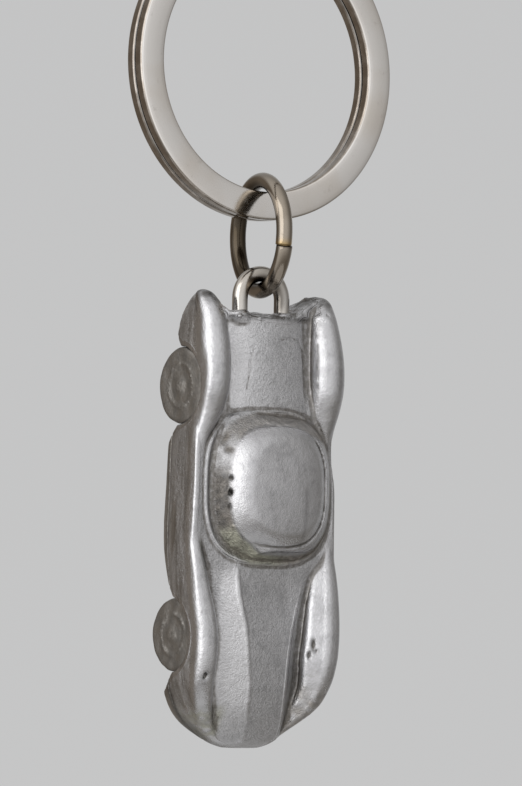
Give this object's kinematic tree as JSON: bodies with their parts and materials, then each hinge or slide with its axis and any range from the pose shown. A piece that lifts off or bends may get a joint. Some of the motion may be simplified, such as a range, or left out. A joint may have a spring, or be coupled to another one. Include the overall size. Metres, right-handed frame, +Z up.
{
  "type": "car figure key ring",
  "caption": "Split key ring, round jump ring and a silver-grey cast sports car figure hanging by a wire eye in its tail.",
  "frame": {"origin": "the hang point: the middle of the split ring's inside surface at the top, where a key ring hook or a key carries it", "axes": "+Z up, against the pull of gravity; the car's roof faces -Y; the car's left side faces +X"},
  "size_m": [0.03, 0.0124, 0.0817],
  "materials": {
    "ring_nickel": "nickel plate, fine lengthwise grain, lightly worn",
    "link_nickel": "polished nickel-plated round wire",
    "eye_nickel": "polished nickel-plated round wire",
    "cast_metal": "tumbled casting, grainy in the hollows and polished on the crests",
    "cast_metal_dark": "tumbled casting, dull",
    "wheel_metal": "rough casting, dull"
  },
  "bodies": {
    "ring": {"split_ring": "ring_nickel"},
    "link": {"jump_ring": "link_nickel"},
    "car": {"eye_staple": "eye_nickel", "body_casting": "cast_metal", "floor_pan": "cast_metal_dark", "wheel_rear_left": "wheel_metal", "wheel_rear_right": "wheel_metal", "wheel_front_left": "wheel_metal", "wheel_front_right": "wheel_metal"}
  },
  "joints": [
    {"name": "link_swing", "type": "hinge", "parent": "ring", "child": "link", "pos_m": [0, 0, -0.0264], "axis": [1, 0, 0], "range_deg": [-95, 95]},
    {"name": "car_swing", "type": "hinge", "parent": "link", "child": "car", "pos_m": [0, 0, -0.03412], "axis": [0.1736, 0.9848, 0], "range_deg": [-60, 60]}
  ]
}
